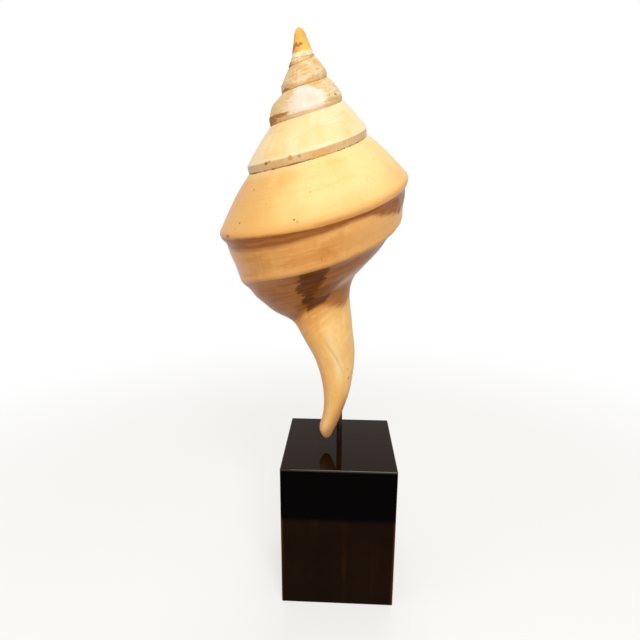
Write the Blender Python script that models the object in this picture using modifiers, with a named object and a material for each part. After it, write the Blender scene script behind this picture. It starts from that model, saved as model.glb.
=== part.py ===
"""Large spired sea shell held point-up on a slim metal rod in a lacquered block.

Metres, +Z up, origin at the centre of the block's underside. Three pieces:
trumpet_shell, mounting_rod and base_block.
"""
import bpy
import bmesh
import numpy as np

# ---------------------------------------------------------------- block and rod
BLOCK_W = 0.1270          # the block is square in plan
BLOCK_H = 0.1706
BLOCK_EDGE = 0.0014       # eased edges of the lacquered block
ROD_D = 0.00635
ROD_SEGMENTS = 24
ROD_TOP = 0.3370           # the rod ends under the base of the last whorl
BORE_DEPTH = 0.024
GAP = 0.0003              # clearance where the rod stands in the block

# ---------------------------------------------------------------- shell: placing
PIVOT = (-0.0197, -0.0216, 0.4507)   # point of the coiling axis beside the keel
LEAN_LEFT = 8.0                      # degrees the spire leans toward -X
LEAN_FRONT = 12.0                    # degrees the spire leans toward -Y
LIP_AZIMUTH = 165.0                  # degrees from +X to the lip, about the axis

# ---------------------------------------------------------------- shell: growth
TURNS = 4.5               # whorls below the blunt apex
STEPS = 36                # facets per turn
KEEL_R = 0.1146           # keel radius at the lip
R_GROWTH = 1.661          # keel radius gained per turn
SPIRE_H = 0.1542          # height the keel runs up to, above the pivot
KEEL_DROP = 0.1729        # depth of the keel below that height at the lip
Z_GROWTH = 1.539
APEX_H = 0.1533
NUB_ROUNDING = 0.315      # share of the apex cone's radius that is a round end
NUB_ROUND_LENGTH = 0.24   # share of the apex cone's height that is a round end
BAND = 0.0088             # wall below the keel, down to the suture
BAND_POWER = 0.29
SUTURE_INSET = 0.005      # share by which the suture lies inside the keel
UNDERCUT = 0.016          # further share on the last whorl, where nothing hangs on
UNDERCUT_GROWS = 0.25     # turns in which the undercut grows to its full share
KEEL_ROUND = 0.0050       # length of the rounding at the keel, at the lip
KEEL_ROUND_POWER = 0.9
KEEL_ROUND_UP = 0.3       # longest rounding, as a share of the shoulder
KEEL_ROUND_DOWN = 0.6     # longest rounding, as a share of the wall
SHOULDER_FULLNESS = 0.02
# uneven growth: (turns before the lip, share added to the radius)
UNEVEN = ((-4.5, -0.10), (-4.2, -0.05), (-3.8, 0.0), (-2.54, -0.024),
          (-2.04, -0.012), (-1.54, -0.050), (-1.04, 0.034), (-0.54, -0.023), (0.0, 0.0))

# ---------------------------------------------------------------- shell: base
# section of the last whorl below the keel: (depth, radius) in keel radii
BASE_SECTION = ((0.0, 1.0), (0.18, 0.935), (0.42, 0.861), (0.58, 0.712),
                (0.75, 0.558), (0.92, 0.400), (1.15, -0.05))
# the same at the lip, where the second ridge lies lower
LIP_SECTION = ((0.0, 1.0), (0.18, 0.936), (0.36, 0.866), (0.50, 0.776),
               (0.60, 0.674), (0.75, 0.538), (0.92, 0.388), (1.15, -0.05))
LIP_FROM, LIP_TO = -0.20, -0.06      # turns over which one passes into the other
FILLET = 0.0139           # blend of the whorl's base into the canal
EDGE_BLEND = 0.008        # height in which the base leaves the lower edge
CROWDING = 0.45           # how much closer the facets lie at both ends of the base
TIP_Z = -0.2650
TIP_LENGTH = 0.0203       # length of the rounded end of the canal
CANAL_GROWTH = 0.12       # the canal wall opens out by this much in its last turn
# canal: (height, radius), and the bent middle line (height, sideways, depthwise)
CANAL = ((-0.2667, 0.0078), (-0.2530, 0.0093), (-0.2350, 0.0106), (-0.2032, 0.0151),
         (-0.1651, 0.0213), (-0.1270, 0.0280), (-0.0889, 0.0332))
MIDDLE = ((-0.2667, -0.0325, -0.0440), (-0.2530, -0.0303, -0.0417),
          (-0.2350, -0.0219, -0.0388), (-0.2032, -0.0122, -0.0351), (-0.1651, -0.0089, -0.0303),
          (-0.1270, -0.0137, -0.0254), (-0.0889, -0.0164, -0.0182),
          (-0.0445, 0.0010, -0.0068), (0.0, 0.0, 0.0))
LIP_WRAP = -32.0          # degrees the lip wraps behind the canal
WRAP_FROM, WRAP_TO = -0.045, -0.135
COLUMELLA = 0.30          # share of the canal radius left as the core
COLUMELLA_TURN = 0.36     # turns in which the canal's wall leaves the core

# ---------------------------------------------------------------- shell: hollow
WALL = 0.0036             # thickness at the lip
CALLUS = 0.0016           # layer over the earlier whorl inside the mouth
WALL_POWER = 0.6          # the wall thins inward by this power of the growth
THIN_WALL = 0.26          # thickest wall of the canal, as a share of its radius
THIN_CALLUS = 0.35        # thickest layer on the core, as a share of its radius
CORNER_GAP = 0.001        # from the layer to the hollow's upper corner, outward
CORNER_DROP = 2.3         # from the suture down to that corner, in walls
CORNER_FLATTEN = 0.7      # how nearly straight the hollow's roof is
TIP_LEFT = 0.0045         # solid shell left below the canal's groove
HOLLOW_TURNS = 1.4        # how far in the hollow is carried
CANAL_CLOSES = 0.38       # turns behind the lip where the groove has closed
CANAL_FLOOR = 0.82        # depth of the hollow behind that, in keel radii

SHOULDER_CUTS = 3         # facets from the suture to the keel's rounding
BASE_CUTS = 17            # facets from the keel to the tip of the canal
NUB_CUTS = 5              # facets up the blunt apex, closer together at its end
NUB_SPACING = 0.6


def smooth(table, x, column=1):
    """Cubic curve through a table's points, straight beyond its ends."""
    knots = np.array([row[0] for row in table])
    values = np.array([row[column] for row in table])
    step = np.diff(knots)
    slope = np.diff(values) / step
    inner = (slope[:-1] * step[1:] + slope[1:] * step[:-1]) / (step[1:] + step[:-1])
    m = np.concatenate([slope[:1], inner, slope[-1:]])
    x = np.asarray(x, dtype=float)
    i = np.clip(np.searchsorted(knots, x, side="right") - 1, 0, len(step) - 1)
    u = np.clip((x - knots[i]) / step[i], 0.0, 1.0)
    y = (2 * u**3 - 3 * u**2 + 1) * values[i] + (u**3 - 2 * u**2 + u) * step[i] * m[i]
    y += (3 * u**2 - 2 * u**3) * values[i + 1] + (u**3 - u**2) * step[i] * m[i + 1]
    y += np.minimum(x - knots[0], 0) * m[0] + np.maximum(x - knots[-1], 0) * m[-1]
    return y


def ease(x):
    """0 below 0, 1 above 1, and an S-shaped rise between."""
    x = np.clip(x, 0.0, 1.0)
    return x * x * (3 - 2 * x)


def keel(t):
    """Radius and height of the keel, t turns before the lip (t is negative)."""
    radius = KEEL_R * R_GROWTH**t * (1 + smooth(UNEVEN, t))
    return radius, SPIRE_H - KEEL_DROP * Z_GROWTH**t


def suture(t):
    """Lower edge of the wall below the keel, where the next whorl joins on."""
    radius, height = keel(t)
    grown = np.clip(t + TURNS, 0, 1)
    band = BAND * (radius / KEEL_R)**BAND_POWER
    inset_share = SUTURE_INSET * grown + UNDERCUT * ease((t + 1) / UNDERCUT_GROWS)
    return radius * (1 - inset_share), height - band * grown


def upper(t):
    """Upper edge of the whorl: the suture one turn earlier, or the apex ring."""
    return suture(np.maximum(t - 1, -TURNS))


def nub_radius(rise):
    """Radius of the blunt apex at a share of its height: a cone with a round end."""
    left = 1 - rise
    end = np.clip(left / NUB_ROUND_LENGTH, 0, 1)
    return (1 - NUB_ROUNDING) * left + NUB_ROUNDING * np.sqrt(1 - (1 - end)**2)


def whorl_radius(t, depth):
    """Radius of the last whorl's base, in keel radii, at a depth in keel radii."""
    at_lip = ease((t - LIP_FROM) / (LIP_TO - LIP_FROM))
    early = smooth(BASE_SECTION, depth)
    return early + (smooth(LIP_SECTION, depth) - early) * at_lip


def canal_radius(t, z):
    """Radius of the canal; it unwinds from the core just before the lip."""
    r = smooth(CANAL, z) * (1 + CANAL_GROWTH * (np.maximum(t, -1) + 0.5))
    r = r * (COLUMELLA + (1 - COLUMELLA) * ease((t + 1) / COLUMELLA_TURN))
    end = np.clip((z - TIP_Z) / TIP_LENGTH, 0, 1)
    return r * np.sqrt(1 - (1 - end)**2)


def below_keel(t, z):
    """Radius of the whorl's outside at height z, from the suture to the tip."""
    radius, height = keel(t)
    whorl = radius * whorl_radius(t, (height - z) / radius)
    canal = canal_radius(t, z)
    near_tip = ease((z - TIP_Z) / TIP_LENGTH)
    soft = FILLET * near_tip * (radius / KEEL_R)
    blended = 0.5 * (whorl + canal + np.sqrt((whorl - canal)**2 + soft**2))
    edge_r, edge_z = suture(t)
    at_edge = radius * whorl_radius(t, (height - edge_z) / radius)
    return blended + (edge_r - at_edge) * np.exp(-((edge_z - z) / EDGE_BLEND)**2)


def shoulder_section(t):
    """Suture, shoulder, rounded keel and wall of one whorl as (radius, height)."""
    top = np.stack(upper(t), -1)
    ridge = np.stack(keel(t), -1)
    low = np.stack(suture(t), -1)
    size = KEEL_ROUND * (ridge[..., :1] / KEEL_R)**KEEL_ROUND_POWER
    up = top - ridge
    up_length = np.linalg.norm(up, axis=-1, keepdims=True) + 1e-9
    down = low - ridge
    down_length = np.linalg.norm(down, axis=-1, keepdims=True) + 1e-9
    before = ridge + up * np.minimum(size / up_length, KEEL_ROUND_UP)
    after = ridge + down * np.minimum(size / down_length, KEEL_ROUND_DOWN)
    points = []
    outward = np.array([1.0, 1.0]) / np.sqrt(2)
    for k in range(SHOULDER_CUTS + 1):
        a = k / SHOULDER_CUTS
        full = SHOULDER_FULLNESS * np.sin(np.pi * a) * up_length
        points.append(top + (before - top) * a + outward * full)
    points.append(0.25 * before + 0.5 * ridge + 0.25 * after)
    points.append(after)
    points.append(low)
    return np.stack(points, 1)


def base_spacing():
    """Shares of the way from the keel to the tip, closer together at both ends."""
    share = np.linspace(0, 1, BASE_CUTS + 1)
    return share - CROWDING * np.sin(2 * np.pi * share) / (2 * np.pi)


def base_section(t):
    """Outside of the last whorl from its lower edge to the tip of the canal."""
    edge_r, edge_z = suture(t)
    z = edge_z[:, None] + (TIP_Z - edge_z[:, None]) * base_spacing()
    r = below_keel(t[:, None], z)
    r[:, 0] = edge_r
    r[:, -1] = 0.0
    return np.stack([r, z], -1)


def inset(section, depth):
    """Section moved to its inner side by a depth, along its own normal."""
    run = np.gradient(section, axis=1)
    length = np.linalg.norm(run, axis=-1, keepdims=True) + 1e-9
    normal = np.stack([run[..., 1], -run[..., 0]], -1) / length
    return section + normal * depth


def hollow_section(t):
    """Closed section of the hollow: down the outer wall, back up the core."""
    grown = R_GROWTH**(WALL_POWER * t)
    wall = WALL * grown
    callus = CALLUS * grown
    top_r, top_z = upper(t)
    corner_r = top_r + callus + CORNER_GAP * grown
    corner_z = top_z - CORNER_DROP * wall
    inward = ease(-t / CANAL_CLOSES)
    keel_r, keel_z = keel(t)
    floor_z = (TIP_Z + TIP_LEFT) * (1 - inward) + (keel_z - CANAL_FLOOR * keel_r) * inward
    shoulder = inset(shoulder_section(t), wall[:, None, None])
    base = base_section(t)
    edge = base[:, 0]
    share = base_spacing()
    z = edge[:, 1:2] + (floor_z[:, None] - edge[:, 1:2]) * share
    r = below_keel(t[:, None], z)
    outside = np.stack([r, z], -1)
    thin = np.minimum(wall[:, None], THIN_WALL * r)
    outer = outside - np.stack([thin, 0 * thin], -1)
    outer[:, 0] = shoulder[:, -1]
    shoulder[:, 0] = np.stack([corner_r, corner_z], -1)
    for k in range(1, SHOULDER_CUTS):
        a = k / SHOULDER_CUTS
        target = shoulder[:, 0] + (shoulder[:, SHOULDER_CUTS] - shoulder[:, 0]) * a
        shoulder[:, k] += (target - shoulder[:, k]) * CORNER_FLATTEN
    # the core side, from the floor back up to the corner
    start = top_z[:, None]
    z_in = start + (floor_z[:, None] - start) * share
    z_in = z_in + (corner_z[:, None] - start) * np.exp(-np.arange(BASE_CUTS + 1))
    z_in = z_in[:, ::-1]
    core = below_keel(t[:, None] - 1, z_in)
    cover = np.minimum(callus[:, None], THIN_CALLUS * core)
    r_in = core + cover
    inner = np.stack([r_in, z_in], -1)
    # both sides meet at the floor
    meet = 0.5 * (outer[:, -1] + inner[:, 0])
    outer[:, -1] = meet
    return np.concatenate([shoulder, outer[:, 1:], inner[:, 1:-1]], 1)


def place(t, section):
    """Section points (radius, height) at turn t, set up in the object's frame."""
    r, z = section[..., 0], section[..., 1]
    wrap = LIP_WRAP * ease((WRAP_FROM - z) / (WRAP_FROM - WRAP_TO))
    angle = np.radians(LIP_AZIMUTH + wrap) - 2 * np.pi * t
    x = r * np.cos(angle) + np.where(z < 0, smooth(MIDDLE, z, 1), 0.0)
    y = r * np.sin(angle) + np.where(z < 0, smooth(MIDDLE, z, 2), 0.0)
    left, front = np.radians(LEAN_LEFT), np.radians(LEAN_FRONT)
    side = np.array([np.cos(left), 0.0, np.sin(left)])
    axis = np.array([-np.sin(left) * np.cos(front), -np.sin(front),
                     np.cos(left) * np.cos(front)])
    depth = np.cross(axis, side)
    return (np.array(PIVOT) + x[..., None] * side + y[..., None] * depth
            + z[..., None] * axis)


def grid_faces(index):
    """Quads between neighbouring rows and columns of a grid of vertex numbers."""
    quads = np.stack([index[:-1, :-1], index[1:, :-1], index[1:, 1:], index[:-1, 1:]], -1)
    return quads.reshape(-1, 4)


def shell_mesh():
    """Vertices and faces of the shell as one closed skin."""
    points = []
    count = 0

    def add(block):
        nonlocal count
        points.append(block.reshape(-1, 3))
        first = count
        count += points[-1].shape[0]
        return np.arange(first, count).reshape(block.shape[:-1])

    t = np.arange(int(TURNS * STEPS) + 1) / STEPS - TURNS
    strip = shoulder_section(t)
    strip_i = add(place(t[:, None], strip))
    columns = strip_i.shape[1]
    # the first turn hangs on the apex ring, later turns on the turn before
    strip_i[0, :] = strip_i[0, 0]
    strip_i[STEPS, 0] = strip_i[0, 0]
    strip_i[STEPS + 1:, 0] = strip_i[1:-STEPS, columns - 1]
    faces = [grid_faces(strip_i)]

    # blunt apex
    ring_t = t[:STEPS]
    ring_r, ring_z = suture(np.array([-TURNS]))
    rise = np.linspace(0, 1, NUB_CUTS + 1)[1:-1]**NUB_SPACING
    levels = [strip_i[:STEPS, 0]]
    for a in rise:
        section = np.empty((STEPS, 2))
        section[:, 0] = ring_r * nub_radius(a)
        section[:, 1] = ring_z + (APEX_H - ring_z) * a
        levels.append(add(place(ring_t, section)))
    apex = add(place(np.zeros(1), np.array([[0.0, APEX_H]])))[0]
    levels = np.stack(levels)
    levels = np.concatenate([levels, levels[:, :1]], 1)
    faces.append(grid_faces(levels))
    fan = np.full(STEPS, apex)
    faces.append(np.stack([levels[-1, :-1], fan, fan, levels[-1, 1:]], -1))

    # base of the last whorl down to the tip of the canal
    last = t[-STEPS - 1:]
    base_i = add(place(last[:, None], base_section(last)))
    base_i[:, 0] = strip_i[-STEPS - 1:, columns - 1]
    base_i[:, -1] = base_i[0, -1]
    faces.append(grid_faces(base_i))

    # mouth: rim around the hollow, then the hollow itself
    turns_in = int(round(HOLLOW_TURNS * STEPS))
    inside_t = -np.arange(turns_in + 1) / STEPS
    inside_i = add(place(inside_t[:, None], hollow_section(inside_t)))
    inside_i = np.concatenate([inside_i, inside_i[:, :1]], 1)
    outline = np.concatenate([strip_i[-1], base_i[-1, 1:], base_i[0, -2:0:-1]])
    outline = np.append(outline, strip_i[-1, 0])
    faces.append(grid_faces(np.stack([outline, inside_i[0]])))
    faces.append(grid_faces(inside_i))
    loop = inside_i[-1, :-1]
    centre = np.concatenate(points)[loop].mean(0)
    middle = add(centre[None, :])[0]
    fan = np.full(len(loop), middle)
    faces.append(np.stack([loop, fan, fan, np.roll(loop, -1)], -1))

    clean = []
    for face in np.concatenate(faces).tolist():
        corners = [v for k, v in enumerate(face) if v != face[k - 1]]
        if len(set(corners)) >= 3:
            clean.append(corners)
    return np.concatenate(points), clean


def new_object(name, material, collection):
    """Empty mesh object with its own material, linked into the collection."""
    mesh = bpy.data.meshes.new(name)
    item = bpy.data.objects.new(name, mesh)
    item.data.materials.append(material)
    collection.objects.link(item)
    return item


def finish(build, item):
    """Write the built geometry into the object, normals outward."""
    bmesh.ops.recalc_face_normals(build, faces=build.faces)
    build.to_mesh(item.data)
    build.free()


def material(name, colour, roughness, metallic=0.0):
    """Plain surface for one piece."""
    made = bpy.data.materials.new(name)
    made.use_nodes = True
    surface = made.node_tree.nodes["Principled BSDF"]
    surface.inputs["Base Color"].default_value = (*colour, 1.0)
    surface.inputs["Roughness"].default_value = roughness
    surface.inputs["Metallic"].default_value = metallic
    return made


for old in list(bpy.data.objects):
    bpy.data.objects.remove(old)

parts = bpy.data.collections.new("trumpet_shell_on_stand")
cutters = bpy.data.collections.new("cutters")
bpy.context.scene.collection.children.link(parts)
bpy.context.scene.collection.children.link(cutters)

shell_finish = material("shell_apricot", (0.86, 0.58, 0.28), 0.35)
rod_finish = material("rod_dark_bronze", (0.05, 0.035, 0.028), 0.35, 0.8)
block_finish = material("block_black_lacquer", (0.012, 0.010, 0.009), 0.08)

# shell
shell = new_object("trumpet_shell", shell_finish, parts)
vertices, polygons = shell_mesh()
shell_build = bmesh.new()
corners = [shell_build.verts.new(point) for point in vertices]
for polygon in polygons:
    shell_build.faces.new([corners[k] for k in polygon])
loose = [v for v in shell_build.verts if not v.link_faces]
bmesh.ops.delete(shell_build, geom=loose, context="VERTS")
bmesh.ops.triangulate(shell_build, faces=shell_build.faces)
finish(shell_build, shell)

# rod
rod = new_object("mounting_rod", rod_finish, parts)
rod_bottom = BLOCK_H - BORE_DEPTH + GAP
rod_build = bmesh.new()
bmesh.ops.create_cone(rod_build, cap_ends=True, segments=ROD_SEGMENTS,
                      radius1=ROD_D / 2, radius2=ROD_D / 2, depth=ROD_TOP - rod_bottom)
bmesh.ops.translate(rod_build, verts=rod_build.verts,
                    vec=(0, 0, (ROD_TOP + rod_bottom) / 2))
finish(rod_build, rod)
rod_edges = rod.modifiers.new("eased_ends", "BEVEL")
rod_edges.width = 0.0005
rod_edges.segments = 1
rod_edges.limit_method = "ANGLE"

# block, with a blind bore for the rod
block = new_object("base_block", block_finish, parts)
block_build = bmesh.new()
bmesh.ops.create_cube(block_build, size=1.0)
bmesh.ops.scale(block_build, verts=block_build.verts, vec=(BLOCK_W, BLOCK_W, BLOCK_H))
bmesh.ops.translate(block_build, verts=block_build.verts, vec=(0, 0, BLOCK_H / 2))
finish(block_build, block)
block_edges = block.modifiers.new("eased_edges", "BEVEL")
block_edges.width = BLOCK_EDGE
block_edges.segments = 2
block_edges.limit_method = "ANGLE"

bore = new_object("rod_bore_cutter", block_finish, cutters)
bore_build = bmesh.new()
bmesh.ops.create_cone(bore_build, cap_ends=True, segments=ROD_SEGMENTS,
                      radius1=ROD_D / 2 + GAP, radius2=ROD_D / 2 + GAP,
                      depth=2 * BORE_DEPTH)
bmesh.ops.translate(bore_build, verts=bore_build.verts, vec=(0, 0, BLOCK_H))
finish(bore_build, bore)
bore.hide_render = True
bore.display_type = "WIRE"

bored = block.modifiers.new("rod_bore", "BOOLEAN")
bored.operation = "DIFFERENCE"
bored.solver = "EXACT"
bored.object = bore
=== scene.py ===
# %% [markdown]
# # A trumpet shell on a lacquered stand
#
# The object is a large spired sea shell, held point-up on a slim metal rod that
# stands in a tall black block. Its solids were made first, in metres, with +Z up
# and the origin under the block. This lesson dresses them: a finer shell with the
# same growth, a turned rod, an eased block, and a finish for each.
#
# The box round them is kept.

# %% Load the solids
import math

import bpy
import numpy as np
from mathutils import Matrix, Vector


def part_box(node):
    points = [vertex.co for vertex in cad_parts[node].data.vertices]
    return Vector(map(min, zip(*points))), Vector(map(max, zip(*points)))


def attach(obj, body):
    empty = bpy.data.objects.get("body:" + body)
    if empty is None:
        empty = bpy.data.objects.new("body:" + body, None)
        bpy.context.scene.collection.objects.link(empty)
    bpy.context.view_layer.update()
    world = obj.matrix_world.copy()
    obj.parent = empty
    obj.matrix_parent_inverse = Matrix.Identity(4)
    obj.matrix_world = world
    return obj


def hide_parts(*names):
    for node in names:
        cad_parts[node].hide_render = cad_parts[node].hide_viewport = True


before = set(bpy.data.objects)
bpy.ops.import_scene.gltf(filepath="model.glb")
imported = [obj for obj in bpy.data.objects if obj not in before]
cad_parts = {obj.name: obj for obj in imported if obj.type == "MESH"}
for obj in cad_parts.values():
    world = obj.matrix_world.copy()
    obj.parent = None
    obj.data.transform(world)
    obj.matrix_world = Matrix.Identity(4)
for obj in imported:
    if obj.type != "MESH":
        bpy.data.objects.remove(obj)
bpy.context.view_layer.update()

print("nodes:", sorted(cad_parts))

# %% [markdown]
# ## Camera
#
# The stand is seen from its front, a little above the shell's middle, from about
# half a metre. A camera is an empty frame with a lens: its place and turn are one
# matrix, made from three plain turns. It first looks down from the horizon, then
# turns to its left, and the small roll is that of a hand-held camera.

# %% Camera
EYE = (0.00099, -0.51018, 0.44047)
LOOK_DOWN, TURN_LEFT, ROLL = 13.19, 2.75, 0.18       # degrees
LENS, SENSOR = 26.09, 36.0           # millimetres
NEAREST = 0.02                       # nothing closer than this is seen

camera_data = bpy.data.cameras.new("camera")
camera_data.lens = LENS
camera_data.sensor_width = SENSOR
camera_data.clip_start = NEAREST
camera = bpy.data.objects.new("camera", camera_data)
bpy.context.scene.collection.objects.link(camera)
camera.matrix_world = (Matrix.Translation(EYE)
                       @ Matrix.Rotation(math.radians(TURN_LEFT), 4, "Z")
                       @ Matrix.Rotation(math.radians(90 - LOOK_DOWN), 4, "X")
                       @ Matrix.Rotation(math.radians(ROLL), 4, "Z"))
bpy.context.scene.camera = camera
print("camera at", EYE, "with a lens of", LENS, "mm")

# %% [markdown]
# ## Wires: arithmetic on a finish
#
# A finish is a graph of nodes. Built by hand, a graph for a mottled shell is long
# and hard to read. Here one small class holds the output of a node, and Python's
# own `+ - * /` on it add the Math nodes, so a pattern reads as a formula. Every
# other kind of node comes from `add`, which sets the node's settings before its
# sockets, because a setting can change which sockets there are. `layered` then
# lays colours over one another, as a painter does, each through its own mask.

# %% Wires
MIX_FACTOR, MIX_A, MIX_B, MIX_COLOUR = 0, 6, 7, 2    # a Mix node's colour sockets


def tint(red, green, blue):
    """A colour as it looks, 0 to 255, turned into the light it stands for.

    The display curve is undone: ((c + 0.055) / 1.055) to the power 2.4, and
    c / 12.92 for the darkest part.
    """
    seen = np.array([red, green, blue]) / 255
    light = np.where(seen > 0.04045, ((seen + 0.055) / 1.055) ** 2.4, seen / 12.92)
    return (*light.tolist(), 1.0)


def both_ways(operation):
    """An operator of wires and numbers, with the wire first and with it last."""
    return (lambda self, other: self.math(operation, self, other),
            lambda self, other: self.math(operation, other, self))


class Wire:
    """The output of one node. Sums and products of wires add Math nodes."""

    def __init__(self, tree, socket):
        self.tree = tree
        self.socket = socket

    @staticmethod
    def add(tree, kind, inputs=None, output=0, **settings):
        """A new node of a kind: settings first, then each socket's value or wire."""
        node = tree.nodes.new("ShaderNode" + kind)
        for name, value in settings.items():
            setattr(node, name, value)
        for name, value in (inputs or {}).items():
            if isinstance(value, Wire):
                tree.links.new(value.socket, node.inputs[name])
            else:
                node.inputs[name].default_value = value
        return Wire(tree, node.outputs[output])

    def math(self, operation, *values):
        """A Math node of one operation on its values."""
        return Wire.add(self.tree, "Math", dict(enumerate(values)), operation=operation)

    __add__, __radd__ = both_ways("ADD")
    __sub__, __rsub__ = both_ways("SUBTRACT")
    __mul__, __rmul__ = both_ways("MULTIPLY")
    __truediv__, __rtruediv__ = both_ways("DIVIDE")

    def between(self, low, high):
        """0 below low, 1 above high, and an S-shaped rise from one to the other."""
        sockets = {"Value": self, "From Min": low, "From Max": high}
        return Wire.add(self.tree, "MapRange", sockets, interpolation_type="SMOOTHSTEP")

    def near(self, centre, width):
        """1 at a centre, falling to 0 a width away on both sides."""
        gap = self.math("ABSOLUTE", self - centre)
        return 1 - gap.between(0.0, width)

    def over(self, below, colour):
        """This wire as a mask that lays a colour over the one below."""
        return Wire.add(self.tree, "Mix", {MIX_FACTOR: self, MIX_A: below, MIX_B: colour},
                        MIX_COLOUR, data_type="RGBA")


def layered(ground, *layers):
    """Colours over one another: the ground, then each (mask, colour) in turn.

    A colour is either a wire or three numbers, its red, green and blue.
    """
    below = ground if isinstance(ground, Wire) else tint(*ground)
    for mask, colour in layers:
        below = mask.over(below, colour if isinstance(colour, Wire) else tint(*colour))
    return below


def any_of(masks):
    """The strongest of several masks at each point."""
    strongest = masks[0]
    for mask in masks[1:]:
        strongest = strongest.math("MAXIMUM", strongest, mask)
    return strongest


def noise(tree, vector, scale, detail=2.0, roughness=0.5):
    """Cloudy signal from 0 to 1, about `scale` clouds to each unit of the vector."""
    return Wire.add(tree, "TexNoise", {"Vector": vector, "Scale": scale,
                                       "Detail": detail, "Roughness": roughness})


def bump(tree, height, strength, distance):
    """Normals that lean as if the surface had this height."""
    return Wire.add(tree, "Bump", {"Height": height, "Strength": strength,
                                   "Distance": distance})


def new_finish(name):
    """An empty material, and its node tree."""
    finish = bpy.data.materials.new(name)
    finish.use_nodes = True
    finish.node_tree.nodes.clear()
    return finish, finish.node_tree


def lay_on(thing, finish, surface):
    """Joins a surface to its material's output, and lays that on an object."""
    tree = finish.node_tree
    end = tree.nodes.new("ShaderNodeOutputMaterial")
    tree.links.new(surface.socket, end.inputs["Surface"])
    thing.data.materials.append(finish)
    print(thing.name, "is finished with", len(tree.nodes), "nodes")


print("the wires are ready")

# %% [markdown]
# ## Room
#
# A shop stands such a piece on a pale sweep under soft lamps. The world and the
# floor show plain white, at a strength of 1, to the eye and to all that mirrors
# or passes light, while the light that falls on the object comes from four wide
# lamps and a dim surround. So the surface colours render about as they are
# written. The floor turns into that white with distance, and near the stand it
# keeps the soft shadow. Its own bounce is that of a darker paint, because a wide
# white floor would flood the shell's underside and wash out its browns.

# %% Room
SURROUND = 0.36                      # strength of the world's light on the object
SURROUND_COLOUR = tint(255, 250, 242)
LAMP_COLOUR = tint(255, 250, 240)
SWEEP_COLOUR = tint(250, 249, 247)
BOUNCE_COLOUR = tint(176, 160, 140)
PLAIN_WHITE = {"Color": (1, 1, 1, 1), "Strength": 1.0}
SHADOW_KEPT = 0.40                   # share of the real floor near the stand
SWEEP_FROM, SWEEP_TO = 0.30, 1.1     # distances over which it turns into white
FLOOR_REACH, FLOOR_DROP = 30.0, 0.0002


def looked_at(tree):
    """1 for what the eye, gloss and glass see, and 0 for the light on other things."""
    kinds = ("Is Camera Ray", "Is Glossy Ray", "Is Transmission Ray")
    return any_of([Wire.add(tree, "LightPath", output=kind) for kind in kinds])


world = bpy.data.worlds.new("room")
bpy.context.scene.world = world
world.use_nodes = True
room = world.node_tree
room.nodes.clear()
white = Wire.add(room, "Background", PLAIN_WHITE)
dim = Wire.add(room, "Background", {"Color": SURROUND_COLOUR, "Strength": SURROUND})
sky = Wire.add(room, "MixShader", {0: looked_at(room), 1: dim, 2: white})
room_end = room.nodes.new("ShaderNodeOutputWorld")
room.links.new(sky.socket, room_end.inputs["Surface"])

floor_mesh = bpy.data.meshes.new("floor")
corners = [(x * FLOOR_REACH, y * FLOOR_REACH, -FLOOR_DROP)
           for x, y in ((-1, -1), (1, -1), (1, 1), (-1, 1))]
floor_mesh.from_pydata(corners, [], [(0, 1, 2, 3)])
floor = bpy.data.objects.new("floor", floor_mesh)
bpy.context.scene.collection.objects.link(floor)

floor_finish, tree = new_finish("pale_sweep")
place_on_floor = Wire.add(tree, "TexCoord", output="Object")
away = Wire.add(tree, "VectorMath", {0: place_on_floor}, "Value", operation="LENGTH")
paint = Wire.add(tree, "BsdfDiffuse", {"Color": SWEEP_COLOUR})
bounce = Wire.add(tree, "BsdfDiffuse", {"Color": BOUNCE_COLOUR})
plain = Wire.add(tree, "Emission", PLAIN_WHITE)
share = (1 - SHADOW_KEPT) + SHADOW_KEPT * away.between(SWEEP_FROM, SWEEP_TO)
seen = Wire.add(tree, "MixShader", {0: share, 1: paint, 2: plain})
ground = Wire.add(tree, "MixShader", {0: looked_at(tree), 1: bounce, 2: seen})
lay_on(floor, floor_finish, ground)

LAMPS = (
    # name, place, looks at, width, power
    ("key_softbox", (0.24, -1.30, 1.30), (0.0, 0.0, 0.38), 1.00, 19.0),
    ("fill_softbox", (-1.30, -0.90, 0.60), (0.0, 0.0, 0.36), 1.00, 4.4),
    ("top_softbox", (0.10, 0.65, 1.70), (0.0, 0.0, 0.40), 0.90, 7.0),
    ("low_softbox", (0.50, -1.20, 0.30), (0.0, 0.0, 0.28), 0.80, 1.8),
)
for name, where, target, width, power in LAMPS:
    lamp_data = bpy.data.lights.new(name, "AREA")
    lamp_data.shape = "DISK"
    lamp_data.size = width
    lamp_data.energy = power
    lamp_data.color = LAMP_COLOUR[:3]
    lamp = bpy.data.objects.new(name, lamp_data)
    bpy.context.scene.collection.objects.link(lamp)
    aimed = (Vector(where) - Vector(target)).to_track_quat("Z", "Y")
    lamp.matrix_world = Matrix.Translation(where) @ aimed.to_matrix().to_4x4()
print(len(LAMPS), "lamps and a white room")

# %% [markdown]
# ## Shell: how it grows
#
# A snail adds shell at the lip while it turns, and each turn is a fixed number of
# times larger than the last. So the whole outside is one outline, carried round
# an axis and scaled. Sculpting could give a nearer likeness of one side, but the
# other sides would be guessed. A growth formula gives every side at once, and the
# rows of the mesh run the way the real growth lines run.
#
# A turn number `t` is 0 at the lip and negative toward the apex. The keel, which
# is the sharp shoulder of each whorl, has a radius of `KEEL_R * R_GROWTH**t`.

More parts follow.
